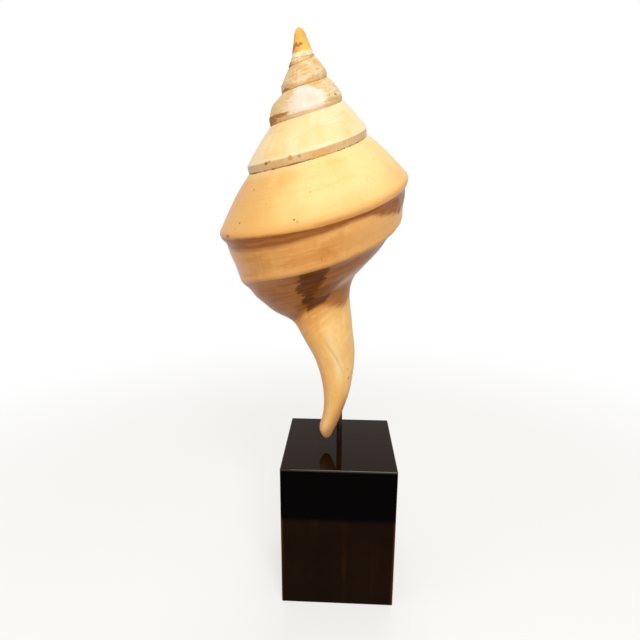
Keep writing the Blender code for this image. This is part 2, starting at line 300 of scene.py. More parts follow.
# %% Shell: growth
PIVOT = (-0.0197, -0.0216, 0.4507)   # point of the coiling axis beside the keel
LEAN_LEFT, LEAN_FRONT = 8.0, 12.0    # degrees the spire leans toward -X and -Y
LIP_AZIMUTH = 165.0                  # degrees from +X to the lip, about the axis
TURNS = 4.5                          # whorls below the blunt apex
KEEL_R, R_GROWTH = 0.1146, 1.661
SPIRE_H, KEEL_DROP, Z_GROWTH = 0.1542, 0.1729, 1.539
BAND, BAND_POWER = 0.0088, 0.29      # wall below the keel, down to the suture
SUTURE_INSET = 0.005                 # share by which the suture lies inside the keel
UNDERCUT, UNDERCUT_GROWS = 0.016, 0.25   # the wall leans in on the last whorl
# uneven growth: (turn, share added to the radius)
UNEVEN = ((-4.5, -0.10), (-4.2, -0.05), (-3.8, 0.0), (-2.54, -0.024),
          (-2.04, -0.012), (-1.54, -0.050), (-1.04, 0.034), (-0.54, -0.023), (0.0, 0.0))


def smooth(table, x, column=1):
    """Cubic curve through a table's points, and straight beyond its ends.

    Between two points the height is a Hermite blend of both values and slopes,
    and the slope at a point is the length-weighted mean of its two chords.
    """
    knots = np.array([row[0] for row in table])
    values = np.array([row[column] for row in table])
    step = np.diff(knots)
    chord = np.diff(values) / step
    inner = (chord[:-1] * step[1:] + chord[1:] * step[:-1]) / (step[1:] + step[:-1])
    slope = np.concatenate([chord[:1], inner, chord[-1:]])
    x = np.asarray(x, dtype=float)
    i = np.clip(np.searchsorted(knots, x, side="right") - 1, 0, len(step) - 1)
    u = np.clip((x - knots[i]) / step[i], 0.0, 1.0)
    y = (2 * u**3 - 3 * u**2 + 1) * values[i]
    y += (u**3 - 2 * u**2 + u) * step[i] * slope[i]
    y += (3 * u**2 - 2 * u**3) * values[i + 1] + (u**3 - u**2) * step[i] * slope[i + 1]
    y += np.minimum(x - knots[0], 0) * slope[0]
    y += np.maximum(x - knots[-1], 0) * slope[-1]
    return y


def ease(x):
    """0 below 0, 1 above 1, and 3x^2 - 2x^3 between."""
    x = np.clip(x, 0.0, 1.0)
    return x * x * (3 - 2 * x)


def hump(x, centre, width):
    """A bell, exp(-((x - centre) / width)^2)."""
    return np.exp(-((x - centre) / width) ** 2)


def keel(t):
    """Radius and height of the keel: both grow by a power of the turn."""
    radius = KEEL_R * R_GROWTH**t * (1 + smooth(UNEVEN, t))
    return radius, SPIRE_H - KEEL_DROP * Z_GROWTH**t


def suture(t):
    """Lower edge of the short wall under the keel, where the next whorl joins."""
    radius, height = keel(t)
    grown = np.clip(t + TURNS, 0, 1)
    inset = SUTURE_INSET * grown + UNDERCUT * ease((t + 1) / UNDERCUT_GROWS)
    return radius * (1 - inset), height - BAND * (radius / KEEL_R)**BAND_POWER * grown


def upper(t):
    """Upper edge of a whorl: the suture of one turn earlier, or the apex ring."""
    return suture(np.maximum(t - 1, -TURNS))


print("keel radius at the lip and one, two, three turns up, mm:",
      [round(float(keel(np.float64(-k))[0]) * 1000, 1) for k in range(4)])

# %% [markdown]
# ## Shell: the surface's small unevenness
#
# No shell is as smooth as its formula. Each pause in growth leaves a faint step,
# the early whorls are worn and chipped, a soft roll lies along the keel of the
# last whorl with a groove under it, and one slanting fold crosses the canal. All
# are heights along the outline's own normal, so they go into the mesh and not
# only into the shading. The waves are sums of cosines with fixed random starts,
# so a run gives the same shell each time.

# %% Shell: relief
WALL_END = 1.3            # `across` at the wall's lower edge, which is the suture
LIP_FROM, LIP_TO = -0.20, -0.06      # turns over which the base takes the lip's form
WHORL_OVER = 0.22         # turns in which the last whorl takes its own relief
WORN_FROM, WORN_OVER = -1.75, 0.5    # turns over which wear sets in, up the spire
# waves: height, waves per turn and across the outline, how many, and their seed
FINE_STEPS = (0.00010, 34, 0.5, 9, 1)
SLOW_DENTS = (0.00060, 5, 1.2, 7, 2)
LONG_CHIPS = (0.00016, 6, 14.0, 14, 3)
SHORT_CHIPS = (0.00012, 30, 9.0, 12, 4)
BASE_DENTS = (0.00035, 7, 2.5, 9, 5)
BASE_STEPS = (0.00008, 36, 0.6, 9, 6)
# humps: height, place and width
KEEL_ROLL = ((0.0002, 1.0, 0.05), (-0.0001, 0.87, 0.08), (-0.0010, WALL_END, 0.14))
GROOVE = ((-0.0017, 0.105, 0.050), (0.0007, 0.22, 0.06))
RIDGE = ((0.0012, 0.0, 0.035), (-0.0012, 0.10, 0.06))
RIDGE_DEPTH, RIDGE_DROP = 0.410, 0.080   # where it lies, and how much lower at the lip
FOLD = ((0.0003, -0.032, 0.028), (-0.0004, 0.0, 0.022))
FOLD_TURN, FOLD_DEPTH, FOLD_SLANT = -0.330, 1.25, 0.125
WORN_SWELLING = ((0.0024, -2.04, 0.10),)     # on the shoulder of a worn whorl
AT_SUTURE, AT_FOOT = 0.06, 0.10      # shares of the outline in which relief dies away


def ripples(t, across, height, around, along, waves, seed):
    """Height times a sum of n waves, cos(2 pi (f t + g across) + start) / sqrt(n).

    Each wave draws its own f, up to `around`, its g, up to `along`, and its start.
    """
    dice = np.random.default_rng(seed)
    total = 0.0
    for f, g, start in zip(dice.uniform(0.3, 1, waves) * around,
                           dice.uniform(-1, 1, waves) * along,
                           dice.uniform(0, 2 * np.pi, waves)):
        total = total + np.cos(2 * np.pi * (f * t + g * across) + start)
    return height * total / np.sqrt(waves)


def humps(x, table):
    """Sum of several bells, each with its own height, place and width."""
    return sum(height * hump(x, centre, width) for height, centre, width in table)


def past_fold(t, depth):
    """Turns from the slanting fold on the canal: 0 along the fold."""
    return t - FOLD_TURN + FOLD_SLANT * (depth - FOLD_DEPTH)


def last_whorl(t):
    """0 up to one turn before the lip, rising to 1 over the next part of a turn."""
    return ease((t + 1.0) / WHORL_OVER)


def at_lip(t):
    """0 on the older part of the last whorl, rising to 1 just before the lip."""
    return ease((t - LIP_FROM) / (LIP_TO - LIP_FROM))


def shoulder_relief(t, across):
    """Height added from the suture, across 0, over the keel, 1, to the wall's foot.

    Growth steps and slow dents everywhere, chips on the early whorls, and on the
    last whorl a roll along the keel with a hollow above and below it. All of it
    dies away at both sutures, so that neighbouring whorls stay joined.
    """
    size = R_GROWTH ** np.maximum(t, -3.6)
    worn = ease((WORN_FROM - t) / WORN_OVER)
    rise = ripples(t, across, *FINE_STEPS) + size * ripples(t, across, *SLOW_DENTS)
    rise = rise + worn * ripples(t, across, *LONG_CHIPS)
    rise = rise + worn * ripples(t, across, *SHORT_CHIPS)
    rise = rise + humps(t, WORN_SWELLING) * hump(across, 0.55, 0.30)
    rise = rise * ease((WALL_END - across) / AT_FOOT)
    return ease(across / AT_SUTURE) * (rise + last_whorl(t) * humps(across, KEEL_ROLL))


def base_relief(t, depth):
    """Height added below the keel's wall, at a depth in keel radii.

    A groove under the keel, a second soft ridge, slow dents that fade on the
    canal, and on the canal itself one slanting fold.
    """
    dents = ripples(t, depth, *BASE_DENTS) + ripples(t, depth, *BASE_STEPS)
    dents = dents * ease((depth - 0.10) / 0.08) * (0.35 + 0.65 * ease((1.1 - depth) / 0.4))
    ridge = humps(depth - RIDGE_DEPTH - RIDGE_DROP * at_lip(t), RIDGE)
    ridge = ridge * (1 - 0.5 * at_lip(t))
    fold = humps(past_fold(t, depth), FOLD)
    fold = fold * ease((depth - 1.10) / 0.25) * ease((2.40 - depth) / 0.4)
    return last_whorl(t) * (humps(depth, GROOVE) + ridge) + dents + fold


print("deepest groove, mm:", round(float(base_relief(np.float64(-0.3), 0.100)) * 1000, 2))

# %% [markdown]
# ## Shell: outline of a whorl
#
# From above, the outline of one whorl runs from the suture down a nearly straight
# shoulder, over the rounded keel, down a short wall, and on the last whorl in
# under the base and down the long canal. Points sit closer together where the
# outline turns sharply: at the suture, the keel and the tip. A dark crack shows
# along the suture, so its own points are pulled a little into the shell.

# %% Shell: outline
SHOULDER_SHARES = np.array([0, .012, .03, .06, .11, .18, .26, .35, .44, .53, .62, .70,
                            .78, .85, .91, .96, 1.0])
KEEL_SHARES = np.linspace(0, 1, 9)[1:]
WALL_SHARES = np.array([.16, .34, .54, .74, .88, .965, 1.0])
KEEL_ROUND = 0.0050       # length of the rounding on each side of the keel
KEEL_ROUND_POWER, KEEL_ROUND_LEAST = 2.2, 0.0006
KEEL_ROUND_UP, KEEL_ROUND_DOWN = 0.3, 0.6    # its longest share of shoulder and wall
WORN_ROUND = 0.0015       # rounding added on the worn whorls
SHOULDER_FULLNESS = 0.02
CRACK = 0.0007            # depth of the crack along the suture
CRACK_WAVER = (0.25, 30, 0.0, 6, 7)
CRACK_ENDS, CRACK_ENDS_OVER = -0.96, 0.04
CRACK_FILLED = (-2.38, 0.24)         # middle and width of the part under bare nacre
BASE_COLUMNS, CROWDING = 84, 0.45
# section below the keel: (depth, radius) in keel radii
BASE_SECTION = ((0.0, 1.0), (0.18, 0.935), (0.42, 0.861), (0.58, 0.712),
                (0.75, 0.558), (0.92, 0.400), (1.15, -0.05))
# the same at the lip, where the second ridge lies lower
LIP_SECTION = ((0.0, 1.0), (0.18, 0.936), (0.36, 0.866), (0.50, 0.776),
               (0.60, 0.674), (0.75, 0.538), (0.92, 0.388), (1.15, -0.05))
FILLET = 0.0139           # blend of the whorl's base into the canal
EDGE_BLEND, FOOT_BLEND = 0.008, 0.004    # heights in which the base leaves the wall
TIP_Z, TIP_LENGTH = -0.2650, 0.0203
CANAL_GROWTH = 0.12       # the canal wall opens out by this much in its last turn
CANAL = ((-0.2667, 0.0078), (-0.2530, 0.0093), (-0.2350, 0.0106), (-0.2032, 0.0151),
         (-0.1651, 0.0213), (-0.1270, 0.0280), (-0.0889, 0.0332))
COLUMELLA = 0.30          # share of the canal radius left as the core
COLUMELLA_TURN = 0.36     # turns in which the canal's wall leaves the core


def whorl_radius(t, depth):
    """Radius of the base, in keel radii: one table blended into the lip's own."""
    early = smooth(BASE_SECTION, depth)
    return early + (smooth(LIP_SECTION, depth) - early) * at_lip(t)


def canal_radius(t, z):
    """Radius of the canal: a table in z, opening with t, on a rounded end."""
    radius = smooth(CANAL, z) * (1 + CANAL_GROWTH * (np.maximum(t, -1) + 0.5))
    radius = radius * (COLUMELLA + (1 - COLUMELLA) * ease((t + 1) / COLUMELLA_TURN))
    end = np.clip((z - TIP_Z) / TIP_LENGTH, 0, 1)
    return radius * np.sqrt(1 - (1 - end)**2)


def below_keel(t, z):
    """Radius of the outside at a height: the larger of whorl and canal, blended.

    The blend of a and b is (a + b + sqrt((a - b)^2 + s^2)) / 2, which is the
    larger of the two with a fillet of about s.
    """
    radius, height = keel(t)
    whorl = radius * whorl_radius(t, (height - z) / radius)
    canal = canal_radius(t, z)
    soft = FILLET * ease((z - TIP_Z) / TIP_LENGTH) * (radius / KEEL_R)
    blended = 0.5 * (whorl + canal + np.sqrt((whorl - canal)**2 + soft**2))
    edge_r, edge_z = suture(t)
    at_edge = radius * whorl_radius(t, (height - edge_z) / radius)
    return blended + (edge_r - at_edge) * hump(z, edge_z, EDGE_BLEND)


def shoulder_section(t):
    """Outline (radius, height) from the suture over the keel to the wall's foot.

    The keel is a quadratic curve pulled toward the corner where shoulder and
    wall would meet. Also returns `across`, which is 0 at the suture, 1 on the
    keel and WALL_END at the foot.
    """
    top = np.stack(upper(t), -1)[:, None]
    ridge = np.stack(keel(t), -1)[:, None]
    low = np.stack(suture(t), -1)[:, None]
    size = KEEL_ROUND * (ridge[..., :1] / KEEL_R)**KEEL_ROUND_POWER
    size = np.maximum(size, KEEL_ROUND_LEAST)
    size = size + WORN_ROUND * ease((-2.20 - t) / 0.12)[:, None, None]
    up, down = top - ridge, low - ridge
    up_length = np.linalg.norm(up, axis=-1, keepdims=True) + 1e-9
    down_length = np.linalg.norm(down, axis=-1, keepdims=True) + 1e-9
    before = ridge + up * np.minimum(size / up_length, KEEL_ROUND_UP)
    after = ridge + down * np.minimum(size / down_length, KEEL_ROUND_DOWN)
    a = SHOULDER_SHARES[None, :, None]
    full = SHOULDER_FULLNESS * np.sin(np.pi * a) * up_length / np.sqrt(2)
    shoulder = top + (before - top) * a + full
    b = KEEL_SHARES[None, :, None]
    bend = (1 - b)**2 * before + 2 * b * (1 - b) * ridge + b**2 * after
    wall = after + (low - after) * WALL_SHARES[None, :, None]
    across = np.concatenate([0.95 * SHOULDER_SHARES, 0.95 + 0.10 * KEEL_SHARES,
                             1.05 + (WALL_END - 1.05) * WALL_SHARES])
    return np.concatenate([shoulder, bend, wall], 1), across


def spread(columns):
    """Shares from 0 to 1, closer together at both ends: u - c sin(2 pi u) / 2 pi."""
    share = np.linspace(0, 1, columns + 1)
    return share - CROWDING * np.sin(2 * np.pi * share) / (2 * np.pi)


def outward(section):
    """Unit normals of an outline that runs downward, pointing away from the axis."""
    run = np.gradient(section, axis=1)
    length = np.linalg.norm(run, axis=-1, keepdims=True) + 1e-9
    return np.stack([-run[..., 1], run[..., 0]], -1) / length


def crack_depth(t):
    """Depth of the crack in the suture under the whorl at turn t.

    It grows with the whorls and wavers, it is filled under the bare nacre, and
    it ends where the lip begins.
    """
    grown = ease(t + TURNS - 0.3) * ease((CRACK_ENDS - t) / CRACK_ENDS_OVER)
    grown = grown * (1 - 0.9 * hump(t, *CRACK_FILLED))
    return CRACK * (0.5 + 0.5 * R_GROWTH**t) * grown * (0.75 + ripples(t, 0.0, *CRACK_WAVER))


def worn_shoulder(t):
    """The shoulder's outline with its relief and the crack along the suture."""
    section, across = shoulder_section(t)
    rise = shoulder_relief(t[:, None], across[None])
    section = section + outward(section) * rise[..., None]
    for column, back, share in ((0, 1, 1.0), (1, 1, 0.35), (-1, 0, 1.0), (-2, 0, 0.35)):
        dip = crack_depth(t - back) * share
        section[:, column, 0] -= dip
        section[:, column, 1] -= 0.4 * dip
    return section, across


def worn_base(t):
    """Outside of the last whorl from the wall's foot to the tip, with its relief.

    Also returns the depth below the keel in keel radii.
    """
    edge_r, edge_z = suture(t)
    radius, height = keel(t)
    z = edge_z[:, None] + (TIP_Z - edge_z[:, None]) * spread(BASE_COLUMNS)
    depth = (height[:, None] - z) / radius[:, None]
    section = np.stack([below_keel(t[:, None], z), z], -1)
    rise = base_relief(t[:, None], depth) * ease((z - TIP_Z) / 0.03)
    section = section + outward(section) * rise[..., None]
    to_foot = worn_shoulder(t)[0][:, -1:] - section[:, :1]
    section = section + to_foot * hump(z, z[:, :1], FOOT_BLEND)[..., None]
    section[:, -1] = (0.0, TIP_Z)
    return section, depth


rows_tried = np.linspace(-1, 0, 5)
print("points across the shoulder:", worn_shoulder(rows_tried)[0].shape[1],
      "and down the base:", worn_base(rows_tried)[0].shape[1])

# %% [markdown]
# ## Shell: the hollow and the lip
#
# Behind the lip the shell is open. The inner wall follows the outer one at the
# wall's thickness, and the inner side is the earlier whorl under a thin glaze.
# The lip itself is rounded: a half circle between the outer and the inner edge.
# Both the wall and the glaze thin out toward the lip, as on a grown shell.

# %% Shell: hollow
WALL, CALLUS = 0.0036, 0.0016        # thickness of the wall and of the glaze
THICKENS = 0.6                       # both grow by this power of the whorls' growth
LIP_WALL, LIP_GLAZE = 0.55, 0.15     # shares of them that are left at the lip's edge
WALL_OVER, GLAZE_OVER = 0.035, 0.05  # turns in which they reach their full thickness
WALL_MOST, GLAZE_MOST = 0.26, 0.35   # the most they take of the canal's radius
CORNER_GAP, CORNER_DROP = 0.001, 2.3     # from the suture in, and down in walls
CORNER_FADE = 17          # how fast that drop dies away along the core
ROOF_STRAIGHT = 0.7       # how far the roof is drawn from the keel to that corner
HOLLOW_TURNS = 1.4
CANAL_CLOSES = 0.38       # turns behind the lip where the groove has closed
CANAL_FLOOR = 0.82        # depth of the hollow behind that, in keel radii
TIP_WALL = 0.0045         # solid end below the open groove


def hollow_section(t):
    """Closed outline of the hollow: down the outer wall, and back up the core."""
    grown = R_GROWTH**(THICKENS * t)
    wall = WALL * grown * (LIP_WALL + (1 - LIP_WALL) * ease(-t / WALL_OVER))
    callus = CALLUS * grown * (LIP_GLAZE + (1 - LIP_GLAZE) * ease(-t / GLAZE_OVER))
    top_r, top_z = upper(t)
    corner = np.stack([top_r + callus + CORNER_GAP * grown,
                       top_z - CORNER_DROP * WALL * grown], -1)
    inward = ease(-t / CANAL_CLOSES)
    keel_r, keel_z = keel(t)
    floor_z = (TIP_Z + TIP_WALL) * (1 - inward) + (keel_z - CANAL_FLOOR * keel_r) * inward
    plain, _ = shoulder_section(t)
    shoulder = plain - outward(plain) * wall[:, None, None]
    first = len(SHOULDER_SHARES)
    roof = corner[:, None] * (1 - SHOULDER_SHARES[None, :, None])
    roof = roof + shoulder[:, first - 1:first] * SHOULDER_SHARES[None, :, None]
    shoulder[:, :first] = (1 - ROOF_STRAIGHT) * shoulder[:, :first] + ROOF_STRAIGHT * roof
    shoulder[:, 0] = corner
    edge_z = suture(t)[1][:, None]
    share = spread(BASE_COLUMNS)
    z = edge_z + (floor_z[:, None] - edge_z) * share
    r = below_keel(t[:, None], z)
    outer = np.stack([r - np.minimum(wall[:, None], WALL_MOST * r), z], -1)
    outer[:, 0] = shoulder[:, -1]
    # the core side, from the floor back up to the corner
    start = top_z[:, None]
    z_in = start + (floor_z[:, None] - start) * share
    fading = np.exp(-CORNER_FADE * np.linspace(0, 1, BASE_COLUMNS + 1))
    z_in = z_in + (corner[:, 1:] - start) * fading
    z_in = z_in[:, ::-1]
    core = below_keel(t[:, None] - 1, z_in)
    inner = np.stack([core + np.minimum(callus[:, None], GLAZE_MOST * core), z_in], -1)
    outer[:, -1] = 0.5 * (outer[:, -1] + inner[:, 0])
    return np.concatenate([shoulder, outer[:, 1:], inner[:, 1:-1]], 1)


print("points round the hollow:", hollow_section(rows_tried).shape[1])

# %% [markdown]
# ## Shell: set up and bent
#
# The outline is carried round the axis. The canal isn't straight on the real
# shell, so below the keel a bent middle line is added to it, and near the lip the
# outer wall wraps round behind the canal. Then the whole is leaned and set beside
# its pivot.

# %% Shell: place
# middle line below the keel: (height, sideways, forward)
MIDDLE = ((-0.2667, -0.0325, -0.0440), (-0.2530, -0.0303, -0.0417),
          (-0.2350, -0.0219, -0.0388), (-0.2032, -0.0122, -0.0351),
          (-0.1651, -0.0089, -0.0303), (-0.1270, -0.0137, -0.0254),
          (-0.0889, -0.0164, -0.0182), (-0.0445, 0.0010, -0.0068), (0.0, 0.0, 0.0))
LIP_WRAP = -32.0          # degrees the lip wraps behind the canal
WRAP_FROM, WRAP_TO = -0.045, -0.135


def place(t, section):
    """Points (radius, height) at turn t in the object's own frame.

    The angle is the lip's azimuth less 360 t, the middle line is added, and the
    three axes of the leaning shell carry the result.
    """
    r, z = section[..., 0], section[..., 1]
    wrap = LIP_WRAP * ease((WRAP_FROM - z) / (WRAP_FROM - WRAP_TO))
    angle = np.radians(LIP_AZIMUTH + wrap) - 2 * np.pi * t
    x = r * np.cos(angle) + np.where(z < 0, smooth(MIDDLE, z, 1), 0.0)
    y = r * np.sin(angle) + np.where(z < 0, smooth(MIDDLE, z, 2), 0.0)
    left, front = np.radians(LEAN_LEFT), np.radians(LEAN_FRONT)
    side = np.array([np.cos(left), 0.0, np.sin(left)])
    axis = np.array([-np.sin(left) * np.cos(front), -np.sin(front),
                     np.cos(left) * np.cos(front)])
    across = np.cross(axis, side)
    return (np.array(PIVOT) + x[..., None] * side + y[..., None] * across
            + z[..., None] * axis)


tip = place(np.zeros(1), np.array([[0.0, TIP_Z]]))[0]
print("tip of the canal at, mm:", np.round(tip * 1000, 1))

# %% [markdown]
# ## Skins
#
# Each piece is one closed skin of triangles, woven from grids of points. A skin
# drops the triangles that a shared point has collapsed, and turns its faces
# outward if its signed volume comes out negative. Each corner of a face also
# carries pairs of numbers, which a finish can read as UV maps.

# %% Skins
def volume_of(points, faces):
    """Signed volume: a sixth of the sum of a . (b x c); positive if faces look out."""
    a, b, c = (points[faces[:, k]] for k in range(3))
    return float((a * np.cross(b, c)).sum() / 6)


def open_edges(faces):
    """Edges that aren't shared by exactly two faces in opposite directions."""
    ends = np.stack([faces, np.roll(faces, -1, axis=1)], -1).reshape(-1, 2).astype(np.int64)
    size = int(ends.max()) + 1
    one_way = np.unique(ends[:, 0] * size + ends[:, 1])
    other_way = np.unique(ends[:, 1] * size + ends[:, 0])
    return len(ends) - len(np.intersect1d(one_way, other_way))


def round_again(grid):
    """A grid with its first column once more at the end, so that its rows close."""
    return np.concatenate([grid, grid[:, :1]], 1)


class Skin:
    """Grids of points, and the triangles between their neighbours."""

    def __init__(self, *map_names):
        self.points, self.faces = [], []
        self.maps = {name: [] for name in map_names}
        self.count = 0

    def add(self, block):
        """Stores a grid of points and returns their numbers in the same shape."""
        self.points.append(block.reshape(-1, 3))
        first = self.count
        self.count += self.points[-1].shape[0]
        return np.arange(first, self.count).reshape(block.shape[:-1])

    def weave(self, index, *signals):
        """Triangles between neighbouring rows and columns, a pair of signals per map."""
        grids = [index[..., None]]
        for pair in signals:
            grids.append(np.stack([np.broadcast_to(one, index.shape) for one in pair], -1))
        for grid, kept in zip(grids, (self.faces, *self.maps.values())):
            a, b, c, d = grid[:-1, :-1], grid[1:, :-1], grid[1:, 1:], grid[:-1, 1:]
            halves = np.stack([np.stack([a, b, c], 2), np.stack([a, c, d], 2)], 2)
            kept.append(halves.reshape(-1, 3, grid.shape[-1]))

    def piece(self, name):
        """The skin as a piece of the object, with its UV maps, shaded smooth."""
        points, faces = np.concatenate(self.points), np.concatenate(self.faces)[..., 0]
        whole = (faces != np.roll(faces, 1, axis=1)).all(1)
        faces = faces[whole]
        way = -1 if volume_of(points, faces) < 0 else 1
        faces = faces[:, ::way]
        print(name + ":", len(faces), "triangles,", open_edges(faces), "open edges,",
              round(volume_of(points, faces) * 1e6), "cm3")
        used, faces = np.unique(faces, return_inverse=True)
        mesh = bpy.data.meshes.new(name)
        mesh.vertices.add(len(used))
        mesh.vertices.foreach_set("co", points[used].astype(np.float32).ravel())
        mesh.loops.add(faces.size)
        mesh.loops.foreach_set("vertex_index", faces.astype(np.int32).ravel())
        starts = np.arange(0, faces.size, 3, dtype=np.int32)
        mesh.polygons.add(len(starts))
        mesh.polygons.foreach_set("loop_start", starts)
        mesh.update(calc_edges=True)
        mesh.polygons.foreach_set("use_smooth", np.ones(len(starts), bool))
        for map_name, kept in self.maps.items():
            values = np.concatenate(kept)[whole][:, ::way]
            layer = mesh.uv_layers.new(name=map_name)
            layer.data.foreach_set("uv", values.astype(np.float32).ravel())
        mesh.validate()
        piece = bpy.data.objects.new(name, mesh)
        bpy.context.scene.collection.objects.link(piece)
        return piece


def looped(name, rings, map_name, rise):
    """One closed piece from rings of equal length, whose first and last are points.

    Its map holds the share of the way round, and one number for each ring.
    """
    skin = Skin(map_name)
    index = skin.add(rings)
    index[0, :], index[-1, :] = index[0, 0], index[-1, 0]
    index = round_again(index)
    skin.weave(index, (np.linspace(0, 1, index.shape[1])[None], rise[:, None]))
    return skin.piece(name)


print("the skins are ready")

# %% [markdown]
# ## Shell: one closed skin
#
# All the grids share the points along their seams: each whorl hangs on the suture
# of the one before, the lip joins outside and hollow, and a blunt nub closes the
# top. The shell has two maps. `growth` is the turn and the place across the
# outline, and `fall` is the depth below the keel and how far inside the shell the
# corner is. They are maps of face corners, because a point on a seam belongs to
# two whorls with different numbers.

# %% Shell: skin
ROWS = 216                # rows in each turn
HOLLOW_ROWS = 90          # rows in each turn of the hollow
LIP_ROWS = 6              # rows round the edge of the lip
NUB_ROWS = 18
APEX_H = 0.1533
NUB_ROUNDING = 0.315      # share of the apex cone's radius that is a round end
NUB_ROUND_LENGTH = 0.24   # share of the apex cone's height that is a round end
NUB_SPACING = 0.6         # power that sets its rings closer toward the apex
CORE_RADIUS = 0.012       # least radius at which the lip's bulge is measured


def nub_radius(rise):
    """Radius of the blunt apex at a share of its height: a cone with a round end."""
    left = 1 - rise
    end = np.clip(left / NUB_ROUND_LENGTH, 0, 1)
    return (1 - NUB_ROUNDING) * left + NUB_ROUNDING * np.sqrt(1 - (1 - end)**2)


def shell_skin():
    """The whole shell as one skin, with the two maps of its corners."""
    skin = Skin("growth", "fall")
    t = np.arange(int(TURNS * ROWS) + 1) / ROWS - TURNS
    strip, across = worn_shoulder(t)
    strip_i = skin.add(place(t[:, None], strip))
    strip_i[0, :] = strip_i[0, 0]
    strip_i[ROWS, 0] = strip_i[0, 0]
    strip_i[ROWS + 1:, 0] = strip_i[1:-ROWS, -1]
    radius, height = keel(t)
    below = (height[:, None] - strip[..., 1]) / radius[:, None]
    skin.weave(strip_i, (t[:, None], across[None]), (below, 0.0))

    # nub: rings that shrink to the apex
    ring_r, ring_z = suture(np.array([-TURNS]))
    rise = np.linspace(0, 1, NUB_ROWS + 1)[1:-1]**NUB_SPACING
    rings = np.empty((len(rise), ROWS, 2))
    rings[..., 0] = (ring_r * nub_radius(rise))[:, None]
    rings[..., 1] = (ring_z + (APEX_H - ring_z) * rise)[:, None]
    apex_i = skin.add(place(np.zeros(1), np.array([[0.0, APEX_H]])))[0]
    nub_i = np.concatenate([strip_i[None, :ROWS, 0], skin.add(place(t[:ROWS], rings)),
                            np.full((1, ROWS), apex_i)])
    nub_v = -np.concatenate([[0.0], rise, [1.0]])
    skin.weave(round_again(nub_i), (t[None, :ROWS + 1], nub_v[:, None]), (-0.5, 0.0))

    # base of the last whorl
    last = t[-ROWS - 1:]
    base, depth = worn_base(last)
    base_i = skin.add(place(last[:, None], base))
    base_i[:, 0] = strip_i[-ROWS - 1:, -1]
    base_i[:, -1] = base_i[0, -1]
    skin.weave(base_i, (last[:, None], WALL_END + depth), (depth, 0.0))

    # lip: half circles from the outer edge to the inner one
    outline = np.concatenate([strip[-1], base[-1, 1:], base[0, -2:0:-1]])
    outline_i = np.concatenate([strip_i[-1], base_i[-1, 1:], base_i[0, -2:0:-1]])
    outline_v = np.concatenate([across, WALL_END + depth[-1, 1:], WALL_END + depth[0, -2:0:-1]])
    inside_t = -np.arange(int(round(HOLLOW_TURNS * HOLLOW_ROWS)) + 1) / HOLLOW_ROWS
    inside = hollow_section(inside_t)
    angle = np.linspace(0, np.pi, LIP_ROWS + 1)[1:-1, None]
    share = 0.5 - 0.5 * np.cos(angle)
    edge = outline * (1 - share[..., None]) + inside[0] * share[..., None]
    thick = np.linalg.norm(outline - inside[0], axis=-1)
    around = 2 * np.pi * np.maximum(outline[:, 0], CORE_RADIUS)
    bulge = 0.5 * thick * np.sin(angle) / around
    edge_i = skin.add(place(bulge, edge))
    inside_i = skin.add(place(inside_t[:, None], inside))
    rows = round_again(np.concatenate([outline_i[None], edge_i, inside_i]))
    row_t = np.concatenate([[0.0], 0 * share[:, 0], inside_t])
    within = np.concatenate([[0.0], share[:, 0], np.ones(len(inside_t))])
    row_v = np.append(outline_v, outline_v[0])
    skin.weave(rows, (row_t[:, None], row_v[None]), (row_v[None] - WALL_END, within[:, None]))

    # end of the hollow, deep inside
    loop = inside_i[-1]
    middle = skin.add(np.concatenate(skin.points)[loop].mean(0)[None])[0]
    cap = np.stack([np.append(loop, loop[0]), np.full(len(loop) + 1, middle)])
    skin.weave(cap, (-HOLLOW_TURNS, 1.0), (0.5, 1.0))
    return skin


shell = shell_skin().piece("spired_shell")
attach(shell, "root")
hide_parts("trumpet_shell")

# %% [markdown]
# ## Shell: its finish
#
# A polished shell has no single colour. The last whorl is golden apricot on its
# shoulder, deeper below the keel and brown under the base, partly through painted
# shade there, the next whorl is cream, and above it the wear shows pinkish nacre
# and orange-brown stains. A painted image could do it, but it would belong to one
# side only. Here each tone has its place along the turns and across the outline,
# and soft noise stretched along the growth breaks its edges, so all sides are
# finished alike.
#
# First come the signals: where on the shell a point is, cloudy noise in the
# object's own space, and noise drawn out along the whorls or across them.

# %% Shell finish: signals
shell_finish, tree = new_finish("polished_shell")
growth = Wire.add(tree, "UVMap", uv_map="growth")
fall = Wire.add(tree, "UVMap", uv_map="fall")
turn, across = (Wire.add(tree, "SeparateXYZ", {0: growth}, k) for k in (0, 1))
depth, within = (Wire.add(tree, "SeparateXYZ", {0: fall}, k) for k in (0, 1))
here = Wire.add(tree, "TexCoord", output="Object")
old = -1 * turn


def in_grid(turn_scale, across_scale, start):
    """The vector (turn, across, start) with the first two scaled."""
    return Wire.add(tree, "CombineXYZ",
                    {0: turn * turn_scale, 1: across * across_scale, 2: start})


def drawn_out(turn_scale, across_scale, start, detail=3.0, roughness=0.6):
    """Noise in the shell's own grid: clouds per turn, and clouds per shoulder."""
    return noise(tree, in_grid(turn_scale, across_scale, start), 1.0, detail, roughness)


clouds = noise(tree, here, 22.0, 3.0)
mottle = noise(tree, here, 85.0, 4.0, 0.6)
grain = noise(tree, here, 420.0, 2.0)
growth_lines = drawn_out(150.0, 1.6, 0.0)
growth_bands = drawn_out(13.0, 0.9, 3.0)
spiral_lines = drawn_out(2.4, 46.0, 7.0)
strokes = drawn_out(7.0, 20.0, 5.0, 4.0, 0.7)
chips = drawn_out(9.0, 9.0, 1.0, 5.0, 0.68)
print("signals of the shell's finish:", len(tree.nodes), "nodes")
